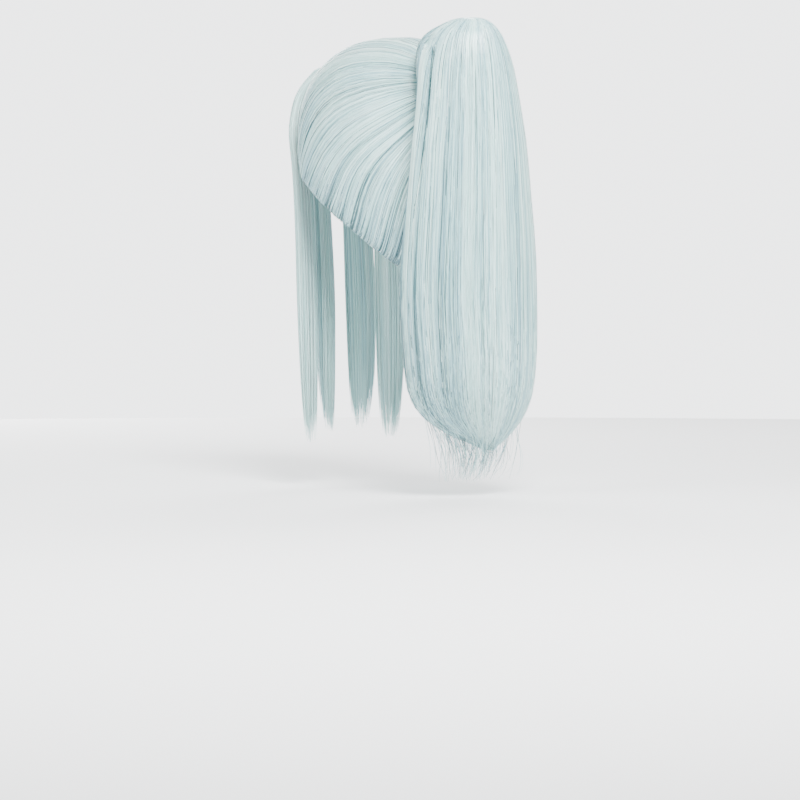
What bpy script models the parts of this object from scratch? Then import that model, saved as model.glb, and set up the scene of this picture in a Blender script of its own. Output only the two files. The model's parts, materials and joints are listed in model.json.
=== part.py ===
"""A costume wig: a stretch cap with swept-back hair, two pairs of long forelocks, and a clip-on ponytail.

Metres. +Z is up, -Y is the way that the wearer faces and +X is the wearer's left. The origin is the middle of
the head at brow height, inside the cap. Every layer of the cap is a patch of one head form, at its own offset.
"""

import math

import bmesh
import bpy
from mathutils import Matrix, Vector

MM = 0.001

# The head form: an oval in plan, rounder than an ellipse over the crown, drawn in towards the neck below.
HEAD_HALF_WIDTH = 75 * MM
HEAD_HALF_DEPTH = 94 * MM
CROWN_HEIGHT = 99 * MM
NECK_DEPTH = 160 * MM
CROWN_POWER = 2.4
NECK_POWER = 2.0

# The hairline, as (degrees round the head from the forehead, height in mm). The right side mirrors the left.
HAIRLINE = ((0, 60), (22, 52), (42, 18), (54, -16), (80, -42), (107, -70), (130, -95), (150, -111), (180, -118))

# The root of the ponytail, measured back from straight up, where all the swept hair meets.
ROOT_TILT = math.radians(48)

# The layers, as offsets from the head form.
LINING = 1.5 * MM
NET = 3.2 * MM
TAPE = 4.9 * MM
HAIR_FOOT = 6.7 * MM
HAIR_THICKNESS = 5.0 * MM
HAIR_TOP = HAIR_FOOT + HAIR_THICKNESS
CLOTH = 0.8 * MM
COLUMN_STEP = 7.5
FLOW_ROWS = 14
PANEL_GAP = 0.35

# The tail stub that the claw bites, and its elastic.
STUB_RADIUS = 5.6 * MM
STUB_LENGTH = 24 * MM
ELASTIC_RADIUS = 1.2 * MM

# The claw clip. Its arms are arcs in the plane across the spine.
ARM_RADIUS = 15 * MM
ARM_THICKNESS = 1.8 * MM
ARM_SHIFT = 2.6 * MM
CLAW_LENGTH = 36 * MM
CLAW_RISE = 35 * MM
TOOTH_COUNT = 5
TOOTH_WIDTH = 3.6 * MM
LEVER_OUTLINE = ((4.6, -2.6), (6.6, -2.6), (9.4, 10), (7.6, 10))
LEVER_WIDTH = 12 * MM
PIN_RADIUS = 1.1 * MM
PIN_HOLE_RADIUS = 1.2 * MM
KNUCKLE_RADIUS = 3.0 * MM
KNUCKLE_LENGTH = 4.0 * MM

# The ponytail's outline: (height, middle's y, half width, depth in front, depth behind), in mm, top to bottom.
PONYTAIL_TOP = (134, 142)
PONYTAIL_STATIONS = (
    (129, 138, 24, 34, 24),
    (118, 130, 38, 46, 38),
    (105, 128, 46, 52, 46),
    (85, 129, 54, 44, 48),
    (60, 131, 58, 29, 47),
    (30, 133, 62, 25.5, 47),
    (0, 134, 66, 25.5, 48),
    (-50, 135, 71, 32, 48),
    (-100, 135, 74, 42, 48),
    (-150, 135, 76, 47, 48),
    (-200, 135, 76, 47, 48),
    (-240, 133, 72, 44, 46),
    (-270, 126, 59, 40, 40),
    (-295, 122, 44, 30, 30),
    (-312, 118, 28, 20, 20),
)
PONYTAIL_TIP = (-330, 112)
SWING_AXIS_Y = 131 * MM
SWING_AXIS_Z = 62 * MM
SWING_DEGREES = 35
FALL_SPLIT_Y = 118 * MM
CUT_GAP = 0.8 * MM

# The forelocks' middle lines, left side, as (x, y, z, radius) in mm, root to tip.
FORELOCK_OUTER = (
    (24, -95, 69, 4),
    (30, -104, 63, 5.5),
    (38, -105, 46, 6),
    (46, -98, 18, 8),
    (50, -88, -22, 9),
    (52, -79, -80, 9.5),
    (52, -75, -150, 10),
    (51, -73, -220, 9),
    (50, -72, -270, 6),
    (49, -71, -300, 2.5),
)
FORELOCK_INNER = (
    (10, -98, 70, 4),
    (13, -110, 65, 6),
    (18, -112, 46, 7.5),
    (21, -105, 18, 8.5),
    (22, -97, -22, 9),
    (22, -91, -80, 9.5),
    (22, -86, -150, 10),
    (22, -84, -220, 9),
    (21, -83, -262, 6),
    (20, -82, -288, 2.5),
)


def empty_scene():
    for obj in list(bpy.data.objects):
        bpy.data.objects.remove(obj)


def new_collection(name):
    made = bpy.data.collections.new(name)
    bpy.context.scene.collection.children.link(made)
    return made


def new_material(name, colour, roughness, metallic=0.0):
    made = bpy.data.materials.new(name)
    made.use_nodes = True
    shader = made.node_tree.nodes["Principled BSDF"]
    shader.inputs["Base Color"].default_value = (*colour, 1.0)
    shader.inputs["Roughness"].default_value = roughness
    shader.inputs["Metallic"].default_value = metallic
    return made


empty_scene()
WIG = new_collection("costume_wig")
CUTTERS = new_collection("cutters")

FIBRE = new_material("hair_fibre", (0.62, 0.73, 0.74), 0.38)
NETTING = new_material("cap_net", (0.55, 0.60, 0.60), 0.85)
RIBBON = new_material("cap_ribbon", (0.66, 0.70, 0.70), 0.7)
ELASTIC = new_material("elastic", (0.50, 0.53, 0.54), 0.75)
PLASTIC = new_material("hook_plastic", (0.72, 0.74, 0.75), 0.35)
CLAW_PLASTIC = new_material("claw_plastic", (0.70, 0.74, 0.75), 0.28)
STEEL = new_material("steel", (0.58, 0.58, 0.60), 0.25, 1.0)


def add(name, data, material, matrix=None, collection=None):
    """Puts an object with this mesh or curve in the wig's collection, or in another."""
    obj = bpy.data.objects.new(name, data)
    data.materials.append(material)
    if matrix is not None:
        obj.matrix_world = matrix
    (collection or WIG).objects.link(obj)
    return obj


def mesh_from(name, shape):
    """A mesh that holds this bmesh, with soft shading and crisp edges."""
    mesh = bpy.data.meshes.new(name)
    shape.to_mesh(mesh)
    shape.free()
    mesh.shade_smooth()
    mesh.set_sharp_from_angle(angle=math.radians(40))
    return mesh


def as_helper(obj):
    """A cutter or a joined piece: drawn as wire, never rendered."""
    obj.hide_render = True
    obj.display_type = "WIRE"
    for holder in list(obj.users_collection):
        holder.objects.unlink(obj)
    CUTTERS.objects.link(obj)
    return obj


def combine(obj, helper, operation):
    """Cuts the helper from the object, joins it on, or keeps what they share."""
    step = obj.modifiers.new(f"{operation.lower()} {helper.name}", "BOOLEAN")
    step.operation = operation
    step.object = as_helper(helper)
    return obj


# ---------------------------------------------------------------- the head form


def between(stations, at):
    """A smooth curve through stations, each a tuple whose first number is where it lies, in rising order."""
    count = len(stations)
    k = max(i for i in range(count - 1) if stations[i][0] <= at)
    before, low = stations[max(k - 1, 0)], stations[k]
    high, after = stations[k + 1], stations[min(k + 2, count - 1)]
    span = high[0] - low[0]
    t = (at - low[0]) / span
    values = []
    for a, b, c, d in zip(before[1:], low[1:], high[1:], after[1:]):
        rise_in = (c - a) / (high[0] - before[0]) * span
        rise_out = (d - b) / (after[0] - low[0]) * span
        values.append(
            (2 * t**3 - 3 * t**2 + 1) * b
            + (t**3 - 2 * t**2 + t) * rise_in
            + (3 * t**2 - 2 * t**3) * c
            + (t**3 - t**2) * rise_out
        )
    return values


def on_head(direction, offset):
    """The point of the head form, grown by offset, that lies this way from the middle of the head."""
    x, y, z = direction
    high = z >= 0
    power = CROWN_POWER if high else NECK_POWER
    depth = (CROWN_HEIGHT if high else NECK_DEPTH) + offset
    plan = math.hypot(x / (HEAD_HALF_WIDTH + offset), y / (HEAD_HALF_DEPTH + offset))
    gauge = (plan**power + abs(z / depth) ** power) ** (1 / power)
    return Vector(direction) / gauge


def hairline_direction(degrees):
    """The way from the middle of the head to the hairline, this far round from the forehead."""
    turn = degrees % 360
    height = between(HAIRLINE, min(turn, 360 - turn))[0] * MM
    depth, power = (CROWN_HEIGHT, CROWN_POWER) if height >= 0 else (NECK_DEPTH, NECK_POWER)
    plan = (1 - abs(height / depth) ** power) ** (1 / power)
    angle = math.radians(degrees)
    x = HEAD_HALF_WIDTH * plan * math.sin(angle)
    y = -HEAD_HALF_DEPTH * plan * math.cos(angle)
    return Vector((x, y, height)).normalized()


ROOT_DIRECTION = Vector((0, math.sin(ROOT_TILT), math.cos(ROOT_TILT)))


def flow_direction(degrees, share):
    """A point of the flow line from the root, at share 0, to the hairline, at share 1."""
    return ROOT_DIRECTION.slerp(hairline_direction(degrees), share)


def surface_normal(direction, offset):
    """The way out of the head form at this point, from two short steps along the form."""
    point = on_head(direction, offset)
    side = Vector(direction).orthogonal().normalized() * 1e-3
    across = Vector(direction).cross(side).normalized() * 1e-3
    first = on_head(Vector(direction) + side, offset) - point
    second = on_head(Vector(direction) + across, offset) - point
    normal = first.cross(second).normalized()
    return normal if normal.dot(point) > 0 else -normal


def head_patch(name, material, columns, rows, offset, thickness, row_count=None):
    """A shell on the head form between two flow lines and two shares of their length."""
    start, end = columns
    column_count = max(1, round((end - start) / COLUMN_STEP))
    row_count = row_count or max(1, round((rows[1] - rows[0]) * FLOW_ROWS))
    shape = bmesh.new()
    bmesh.ops.create_grid(shape, x_segments=column_count, y_segments=row_count, size=1)
    for vertex in shape.verts:
        across, along = (vertex.co.x + 1) / 2, (vertex.co.y + 1) / 2
        share = rows[0] + (rows[1] - rows[0]) * along
        vertex.co = on_head(flow_direction(start + (end - start) * across, share), offset)
    bmesh.ops.remove_doubles(shape, verts=shape.verts, dist=0.01 * MM)
    bmesh.ops.recalc_face_normals(shape, faces=shape.faces)
    shape.faces.ensure_lookup_table()
    middle = shape.faces[len(shape.faces) // 2]
    if middle.normal.dot(middle.calc_center_median()) < 0:
        bmesh.ops.reverse_faces(shape, faces=shape.faces)
    obj = add(name, mesh_from(name, shape), material)
    wall = obj.modifiers.new("wall", "SOLIDIFY")
    wall.thickness = thickness
    wall.offset = 1
    return obj


# ---------------------------------------------------------------- the cap


def cap_net():
    head_patch("cap_net", NETTING, (0, 360), (0, 0.985), NET, CLOTH, row_count=FLOW_ROWS)


def rim_bands():
    """The lining round the hairline: velvet at the forehead, a tab at each ear and elastic at the nape."""
    depth = (0.86, 1.0)
    head_patch("forehead_band", RIBBON, (-45, 45), depth, LINING, CLOTH)
    head_patch("nape_band", ELASTIC, (120, 240), depth, LINING, CLOTH)
    for side, start, end in (("left", 45.5, 119.5), ("right", -119.5, -45.5)):
        head_patch(f"ear_tab_{side}", RIBBON, (start, end), (0.80, 1.0), LINING, CLOTH)


def ear_stays():
    """A bendable strip in each ear tab, which holds the tab to the temple."""
    for side, middle in (("left", 60), ("right", -60)):
        columns = (middle - 3, middle + 3)
        head_patch(f"ear_stay_{side}", PLASTIC, columns, (0.83, 0.97), 0.0 * MM, CLOTH, row_count=3)


def crown_tapes():
    """The ribbons that the wefts are sewn to: three from the front to the root, two down to the nape."""
    for name, middle in (("centre", 0), ("left", 75), ("right", -75), ("nape_left", 150), ("nape_right", -150)):
        columns = (middle - 3.75, middle + 3.75)
        head_patch(f"crown_tape_{name}", RIBBON, columns, (0.2, 0.97), TAPE, CLOTH, row_count=11)


def adjusters():
    """At the nape, an elastic strap each side with a hook at its end, and a row of loops that the hook goes in."""
    for side, sign in (("left", 1), ("right", -1)):
        strap_ends = sorted((sign * 128, sign * 150))
        head_patch(f"adjuster_strap_{side}", ELASTIC, strap_ends, (0.93, 0.97), -1.4 * MM, 0.8 * MM, row_count=1)
        hook_ends = sorted((sign * 151, sign * 155))
        head_patch(f"adjuster_hook_{side}", PLASTIC, hook_ends, (0.92, 0.98), -1.4 * MM, 0.9 * MM, row_count=1)
    

# ---------------------------------------------------------------- the swept hair


def swept_hair():
    """Four panels of hair that run from the hairline to the root."""
    for name, start, end in (
        ("top_hair", -30, 30),
        ("side_hair_left", 30, 142.5),
        ("nape_hair", 142.5, 217.5),
        ("side_hair_right", -142.5, -30),
    ):
        columns = (start + PANEL_GAP, end - PANEL_GAP)
        head_patch(name, FIBRE, columns, (0.09, 1.0), HAIR_FOOT, HAIR_THICKNESS)


ROOT_POINT = on_head(ROOT_DIRECTION, HAIR_TOP)
ROOT_NORMAL = surface_normal(ROOT_DIRECTION, HAIR_TOP)
ROOT_NORMAL.x = 0
ROOT_NORMAL.normalize()
SPINE = Vector((0, ROOT_NORMAL.z, -ROOT_NORMAL.y))


def root_frame(rise):
    """At this height over the root: x to the wearer's left, y out of the head, z up along the clip's spine."""
    left = Vector((1, 0, 0))
    matrix = Matrix((left, ROOT_NORMAL, -SPINE)).transposed().to_4x4()
    matrix.translation = ROOT_POINT + ROOT_NORMAL * rise
    return matrix


def round_bar(name, radius, length, sides, matrix, material, taper=1.0):
    """A bar along its own Z, from its middle."""
    shape = bmesh.new()
    bmesh.ops.create_cone(
        shape, cap_ends=True, segments=sides, radius1=radius, radius2=radius * taper, depth=length
    )
    return add(name, mesh_from(name, shape), material, matrix)


def tail_stub():
    """The short tail at the root, and the elastic wound round its foot."""
    turned = Matrix.Rotation(math.radians(-90), 4, "X")
    middle = root_frame(STUB_LENGTH / 2 - 4 * MM) @ turned
    round_bar("tail_stub", STUB_RADIUS, STUB_LENGTH, 16, middle, FIBRE, taper=0.8)
    ring_radius = STUB_RADIUS + ELASTIC_RADIUS + 0.4 * MM
    bpy.ops.mesh.primitive_torus_add(
        major_segments=20, minor_segments=6, major_radius=ring_radius, minor_radius=ELASTIC_RADIUS
    )
    ring = bpy.context.object
    ring.name = "tail_elastic"
    ring.data.materials.append(ELASTIC)
    ring.data.shade_smooth()
    ring.matrix_world = root_frame(ELASTIC_RADIUS + 0.4 * MM) @ turned
    for holder in list(ring.users_collection):
        holder.objects.unlink(ring)
    WIG.objects.link(ring)


# ---------------------------------------------------------------- the claw clip


def arc(middle, radius, first, last, count):
    """Points on an arc, angles in degrees from +X towards +Y."""
    angles = [math.radians(first + (last - first) * i / (count - 1)) for i in range(count)]
    return [(middle[0] + radius * math.cos(a), middle[1] + radius * math.sin(a)) for a in angles]


def flat_piece(name, outline, thickness, matrix, material):
    """A flat outline given a thickness along its own Z, made a mesh so that it can be joined."""
    curve = bpy.data.curves.new(name, "CURVE")
    curve.dimensions = "2D"
    curve.fill_mode = "BOTH"
    curve.extrude = thickness / 2
    spline = curve.splines.new("POLY")
    spline.points.add(len(outline) - 1)
    for point, (x, y) in zip(spline.points, outline):
        point.co = (x, y, 0, 1)
    spline.use_cyclic_u = True
    flat = add(name + "_outline", curve, material, matrix)
    bpy.context.view_layer.update()
    graph = bpy.context.evaluated_depsgraph_get()
    mesh = bpy.data.meshes.new_from_object(flat.evaluated_get(graph))
    bpy.data.objects.remove(flat)
    shape = bmesh.new()
    shape.from_mesh(mesh)
    bpy.data.meshes.remove(mesh)
    bmesh.ops.remove_doubles(shape, verts=shape.verts, dist=0.01 * MM)
    bmesh.ops.recalc_face_normals(shape, faces=shape.faces)
    return add(name, mesh_from(name, shape), material, matrix)


def arm_outline(sign, first, last, count):
    """A band along the arm's arc, on the left for sign 1 and on the right for sign -1."""
    middle = (ARM_SHIFT, -ARM_RADIUS)
    outer = arc(middle, ARM_RADIUS + ARM_THICKNESS / 2, first, last, count)
    inner = arc(middle, ARM_RADIUS - ARM_THICKNESS / 2, last, first, count)
    return [(sign * x, y) for x, y in outer + inner]


def claw_jaw(side, sign, knuckle_places):
    """One jaw: a plate and teeth on one arc, a lever outside the pin, and two knuckles round it."""
    name = f"claw_jaw_{side}"
    frame = root_frame(CLAW_RISE)
    plate = arm_outline(sign, 78, 22, 7)
    jaw = flat_piece(name, plate, CLAW_LENGTH, frame, CLAW_PLASTIC)
    tooth_step = (CLAW_LENGTH - TOOTH_WIDTH) / (TOOTH_COUNT - 1)
    for i in range(TOOTH_COUNT):
        along = (i - (TOOTH_COUNT - 1) / 2) * tooth_step
        place = frame @ Matrix.Translation((0, 0, along))
        tooth = flat_piece(f"{name}_tooth_{i}", arm_outline(sign, 30, -64, 11), TOOTH_WIDTH, place, CLAW_PLASTIC)
        combine(jaw, tooth, "UNION")
    lever_outline = [(sign * x * MM, y * MM) for x, y in LEVER_OUTLINE]
    lever = flat_piece(f"{name}_lever", lever_outline, LEVER_WIDTH, frame, CLAW_PLASTIC)
    combine(jaw, lever, "UNION")
    for i, along in enumerate(knuckle_places):
        place = frame @ Matrix.Translation((0, 0, along))
        arm = flat_piece(f"{name}_arm_{i}", arm_outline(sign, 92, 68, 4), KNUCKLE_LENGTH, place, CLAW_PLASTIC)
        knuckle = round_bar(f"{name}_knuckle_{i}", KNUCKLE_RADIUS, KNUCKLE_LENGTH * 0.98, 16, place, CLAW_PLASTIC)
        combine(jaw, arm, "UNION")
        combine(jaw, knuckle, "UNION")
    hole = round_bar(f"{name}_hole", PIN_HOLE_RADIUS, CLAW_LENGTH * 1.2, 16, frame, CLAW_PLASTIC)
    combine(jaw, hole, "DIFFERENCE")


def claw_spring():
    """A torsion spring round the middle of the pin, with a leg under each lever."""
    turns, points_each, pitch, radius = 4, 10, 1.5 * MM, 2.3 * MM
    count = turns * points_each + 1
    points = []
    for i in range(count):
        angle = math.radians(90) + 2 * math.pi * i / points_each
        points.append(
            (radius * math.cos(angle), radius * math.sin(angle), pitch * (i / points_each - turns / 2))
        )
    curve = bpy.data.curves.new("claw_spring", "CURVE")
    curve.dimensions = "3D"
    curve.bevel_depth = 0.45 * MM
    curve.bevel_resolution = 1
    curve.use_fill_caps = True
    spline = curve.splines.new("POLY")
    spline.points.add(count - 1)
    for point, place in zip(spline.points, points):
        point.co = (*place, 1)
    add("claw_spring", curve, STEEL, root_frame(CLAW_RISE))


def claw_clip():
    claw_jaw("left", 1, (-13 * MM, 8.5 * MM))
    claw_jaw("right", -1, (-8.5 * MM, 13 * MM))
    round_bar("claw_pin", PIN_RADIUS, CLAW_LENGTH - 2 * MM, 12, root_frame(CLAW_RISE), STEEL)
    claw_spring()


def clip_pad():
    """The woven pad over the clip, an arch along its spine, with two wefts wound on it."""
    for name, radius, rise, half_angle, length, thickness, material in (
        ("ponytail_pad", 17.5, 0, 62, 30, 1.0, NETTING),
        ("weft_inner", 19.0, 0, 60, 12, 1.2, RIBBON),
        ("weft_outer", 20.7, 0, 58, 24, 1.2, RIBBON),
    ):
        shape = bmesh.new()
        bmesh.ops.create_grid(shape, x_segments=12, y_segments=2, size=1)
        for vertex in shape.verts:
            angle = math.radians(90 - vertex.co.x * half_angle)
            x, y = radius * math.cos(angle), radius * math.sin(angle)
            vertex.co = Vector((x, y + rise, vertex.co.y * length / 2)) * MM
        bmesh.ops.recalc_face_normals(shape, faces=shape.faces)
        shape.faces.ensure_lookup_table()
        if shape.faces[0].normal.dot(shape.faces[0].calc_center_median()) < 0:
            bmesh.ops.reverse_faces(shape, faces=shape.faces)
        pad = add(name, mesh_from(name, shape), material, root_frame(CLAW_RISE - 3 * MM))
        wall = pad.modifiers.new("wall", "SOLIDIFY")
        wall.thickness = thickness * MM
        wall.offset = 1


# ---------------------------------------------------------------- the ponytail


def ponytail_body(name):
    """The whole ponytail's outer shape: an oval at each height, closed at the crown and at the tip."""
    stations = [(-z, *rest) for z, *rest in PONYTAIL_STATIONS]
    top, tip = PONYTAIL_TOP, PONYTAIL_TIP
    rings = 22
    shape = bmesh.new()
    bmesh.ops.create_uvsphere(shape, u_segments=24, v_segments=rings, radius=1)
    for vertex in shape.verts:
        polar = math.acos(max(-1, min(1, vertex.co.z))) / math.pi
        ring = round(polar * rings)
        if ring in (0, rings):
            z, y = top if ring == 0 else tip
            vertex.co = Vector((0, y, z)) * MM
            continue
        share = (ring - 1) / (rings - 2)
        depth = stations[0][0] + (stations[-1][0] - stations[0][0]) * share
        if ring == 1:
            depth = stations[0][0]
        middle, half_width, front, back = between(stations, min(depth, stations[-1][0] - 1e-6))
        turn = math.atan2(vertex.co.y, vertex.co.x)
        reach = back if math.sin(turn) > 0 else front
        vertex.co = Vector((half_width * math.cos(turn), middle + reach * math.sin(turn), -depth)) * MM
    bmesh.ops.recalc_face_normals(shape, faces=shape.faces)
    return add(name, mesh_from(name, shape), FIBRE)


def cutter_box(name, low, high, matrix=None):
    """A box between two corners, in mm."""
    low, high = Vector(low) * MM, Vector(high) * MM
    shape = bmesh.new()
    bmesh.ops.create_cube(shape, size=1)
    for vertex in shape.verts:
        vertex.co = [a + (b - a) * (c + 0.5) for a, b, c in zip(low, high, vertex.co)]
    return add(name, mesh_from(name, shape), FIBRE, matrix)


def head_cutter(name):
    """The head with its hair on, and a little air round it."""
    shape = bmesh.new()
    bmesh.ops.create_uvsphere(shape, u_segments=32, v_segments=24, radius=1)
    for vertex in shape.verts:
        vertex.co = on_head(vertex.co.normalized(), HAIR_TOP + 1.2 * MM)
    return add(name, mesh_from(name, shape), FIBRE)


def ponytail():
    """The crown of the ponytail stays on the clip. Below it the length hangs in two falls, and swings back."""
    crown = ponytail_body("ponytail_crown")
    hinge_z = SWING_AXIS_Z / MM
    below = cutter_box("below_crown", (-100, 0, -400), (100, 250, hinge_z + CUT_GAP / MM / 2))
    combine(crown, below, "DIFFERENCE")
    combine(crown, head_cutter("head_in_crown"), "DIFFERENCE")
    clip_room = cutter_box("clip_room", (-29, -45, -24), (29, 21, 24), root_frame(CLAW_RISE))
    combine(crown, clip_room, "DIFFERENCE")

    slope = Matrix.Translation((0, SWING_AXIS_Y, SWING_AXIS_Z)) @ Matrix.Rotation(
        -math.radians(SWING_DEGREES + 1), 4, "X"
    )
    for name, low_y, high_y in (
        ("ponytail_inner_fall", 20, FALL_SPLIT_Y / MM - 0.4),
        ("ponytail_outer_fall", FALL_SPLIT_Y / MM, 260),
    ):
        fall = ponytail_body(name)
        share = cutter_box(f"{name}_share", (-120, low_y, -400), (120, high_y, hinge_z - CUT_GAP / MM / 2))
        combine(fall, share, "INTERSECT")
        notch = cutter_box(f"{name}_notch", (-130, 0, -0.4), (130, 120, 60), slope)
        combine(fall, notch, "DIFFERENCE")


# ---------------------------------------------------------------- the forelocks


def lock(name, stations, sign):
    """A tapering lock of hair along its middle line."""
    curve = bpy.data.curves.new(name, "CURVE")
    curve.dimensions = "3D"
    curve.bevel_depth = 1 * MM
    curve.bevel_resolution = 2
    curve.use_fill_caps = True
    along = [(i, *station) for i, station in enumerate(stations)]
    steps = 2 * (len(stations) - 1)
    spline = curve.splines.new("POLY")
    spline.points.add(steps)
    for i, point in enumerate(spline.points):
        x, y, z, radius = between(along, min(i / 2, len(stations) - 1 - 1e-6))
        point.co = (sign * x * MM, y * MM, z * MM, 1)
        point.radius = radius
    return add(name, curve, FIBRE)


def forelocks():
    for side, sign in (("left", 1), ("right", -1)):
        lock(f"forelock_outer_{side}", FORELOCK_OUTER, sign)
        lock(f"forelock_inner_{side}", FORELOCK_INNER, sign)


def main():
    cap_net()
    rim_bands()
    ear_stays()
    crown_tapes()
    adjusters()
    swept_hair()
    tail_stub()
    claw_clip()
    clip_pad()
    ponytail()
    forelocks()


main()
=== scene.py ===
"""The costume wig as it looks: strands of pale fibre over packed masses, a sewn cap and a claw clip.

Everything is in the model's own frame: metres, +Z up, -Y the way that the wearer faces, and +X the
wearer's left.
"""

import json
import math

import bmesh
import bpy
import numpy as np
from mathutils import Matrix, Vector


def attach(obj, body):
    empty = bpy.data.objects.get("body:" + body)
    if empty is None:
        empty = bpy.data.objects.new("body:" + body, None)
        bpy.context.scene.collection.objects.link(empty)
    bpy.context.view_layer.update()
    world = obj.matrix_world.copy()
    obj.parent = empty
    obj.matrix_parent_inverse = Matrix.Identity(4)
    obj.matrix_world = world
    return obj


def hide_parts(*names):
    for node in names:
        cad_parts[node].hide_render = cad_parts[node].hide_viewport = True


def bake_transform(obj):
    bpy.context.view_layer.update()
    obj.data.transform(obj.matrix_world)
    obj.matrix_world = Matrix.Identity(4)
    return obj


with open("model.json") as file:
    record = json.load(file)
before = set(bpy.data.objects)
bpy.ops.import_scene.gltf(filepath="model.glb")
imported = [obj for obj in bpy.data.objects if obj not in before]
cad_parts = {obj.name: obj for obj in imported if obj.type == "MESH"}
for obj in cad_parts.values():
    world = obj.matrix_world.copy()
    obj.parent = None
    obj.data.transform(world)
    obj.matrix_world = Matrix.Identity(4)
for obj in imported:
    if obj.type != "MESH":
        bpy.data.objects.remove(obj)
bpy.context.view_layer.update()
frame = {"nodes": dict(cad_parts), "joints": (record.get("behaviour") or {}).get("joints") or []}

MM = 0.001
RNG = np.random.default_rng(20)

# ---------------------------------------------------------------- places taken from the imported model


def joint(name):
    return next(j for j in frame["joints"] if j["name"] == name)


CLAW_AXIS_POINT = np.array(joint("claw_left_open")["pos_m"])
CLAW_AXIS = np.array(joint("claw_left_open")["axis"])
ROOT_NORMAL = np.array(joint("ponytail_unclip")["axis"])
CLAW_RISE = 35 * MM
ROOT_POINT = CLAW_AXIS_POINT - ROOT_NORMAL * CLAW_RISE

# The head form, as the model's cap has it, and the two ways that flow lines run to: the tie, and a little
# lower for the strands that show.
HEAD_HALF_WIDTH = 75 * MM
HEAD_HALF_DEPTH = 94 * MM
CROWN_HEIGHT = 99 * MM
NECK_DEPTH = 160 * MM
CROWN_POWER = 2.4
NECK_POWER = 2.0
ROOT_TILT = math.radians(48)
ROOT_DIRECTION = np.array((0.0, math.sin(ROOT_TILT), math.cos(ROOT_TILT)))
GATHER_TILT = math.radians(58)
GATHER_DIRECTION = np.array((0.0, math.sin(GATHER_TILT), math.cos(GATHER_TILT)))
# The hairline: degrees round from the forehead's middle, and height in mm. Both sides are alike.
HAIRLINE = (
    (0, 60),
    (22, 52),
    (42, 18),
    (54, -16),
    (80, -42),
    (107, -70),
    (130, -95),
    (150, -111),
    (180, -118),
)

# The layers, in mm outside the head form. CORE_TOP is the top of the packed fibre under the strands.
LINING, NET, TAPE, CLOTH = 1.5, 3.2, 4.9, 0.8
HAIR_FOOT, HAIR_TOP = 6.7, 11.7
CORE_TOP = 9.2


def cubic(t, b, c, rise_in, rise_out):
    """The curve from b to c, as t goes from 0 to 1, with these slopes at its ends."""
    return (
        (2 * t**3 - 3 * t**2 + 1) * b
        + (t**3 - 2 * t**2 + t) * rise_in
        + (3 * t**2 - 2 * t**3) * c
        + (t**3 - t**2) * rise_out
    )


def spline(stations, at):
    """A smooth curve through evenly counted stations, at these counts. Each station is a row."""
    stations = np.asarray(stations, float)
    at = np.clip(np.asarray(at, float), 0, len(stations) - 1 - 1e-9)
    k = at.astype(int)
    t = (at - k)[..., None]
    a = stations[np.maximum(k - 1, 0)]
    b = stations[k]
    c = stations[k + 1]
    d = stations[np.minimum(k + 2, len(stations) - 1)]
    rise_in, rise_out = (c - a) / 2, (d - b) / 2
    return cubic(t, b, c, rise_in, rise_out)


def hermite(stations, at):
    """The curve that the model's cap has round its hairline, through unevenly placed stations."""
    xs, ys = (np.array(v, float) for v in zip(*stations))
    k = min(max(int(np.searchsorted(xs, at, side="right")) - 1, 0), len(xs) - 2)
    i, j = max(k - 1, 0), min(k + 2, len(xs) - 1)
    span = xs[k + 1] - xs[k]
    t = (at - xs[k]) / span
    rise_in = (ys[k + 1] - ys[i]) / (xs[k + 1] - xs[i]) * span
    rise_out = (ys[j] - ys[k]) / (xs[j] - xs[k]) * span
    return cubic(t, ys[k], ys[k + 1], rise_in, rise_out)


HAIRLINE_DEGREES = np.arange(0, 180.5, 0.5)
HAIRLINE_HEIGHTS = np.array([hermite(HAIRLINE, a) for a in HAIRLINE_DEGREES]) * MM


def on_head(direction, offset):
    """Points of the head form, grown by offset, that lie these ways from the middle of the head."""
    direction = np.asarray(direction, float)
    offset = np.asarray(offset, float)
    x, y, z = np.moveaxis(direction, -1, 0)
    high = z >= 0
    power = np.where(high, CROWN_POWER, NECK_POWER)
    depth = np.where(high, CROWN_HEIGHT, NECK_DEPTH) + offset
    plan = np.hypot(x / (HEAD_HALF_WIDTH + offset), y / (HEAD_HALF_DEPTH + offset))
    gauge = (plan**power + np.abs(z / depth) ** power) ** (1 / power)
    return direction / gauge[..., None]


def hairline_direction(degrees):
    turn = np.mod(degrees, 360)
    height = np.interp(np.minimum(turn, 360 - turn), HAIRLINE_DEGREES, HAIRLINE_HEIGHTS)
    high = height >= 0
    depth = np.where(high, CROWN_HEIGHT, NECK_DEPTH)
    power = np.where(high, CROWN_POWER, NECK_POWER)
    plan = (1 - np.abs(height / depth) ** power) ** (1 / power)
    angle = np.radians(degrees)
    found = np.stack(
        (HEAD_HALF_WIDTH * plan * np.sin(angle), -HEAD_HALF_DEPTH * plan * np.cos(angle), height), axis=-1
    )
    return found / np.linalg.norm(found, axis=-1, keepdims=True)


def flow(degrees, share, offset_mm, root=ROOT_DIRECTION):
    """Points of the flow lines from the root, at share 0, to the hairline, at share 1."""
    degrees, share, offset_mm = np.broadcast_arrays(degrees, share, offset_mm)
    end = hairline_direction(degrees)
    angle = np.arccos(np.clip(end @ root, -1, 1))
    first = np.sin((1 - share) * angle) / np.sin(angle)
    second = np.sin(share * angle) / np.sin(angle)
    direction = first[..., None] * root + second[..., None] * end
    return on_head(direction, offset_mm * MM)


# ---------------------------------------------------------------- materials


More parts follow.
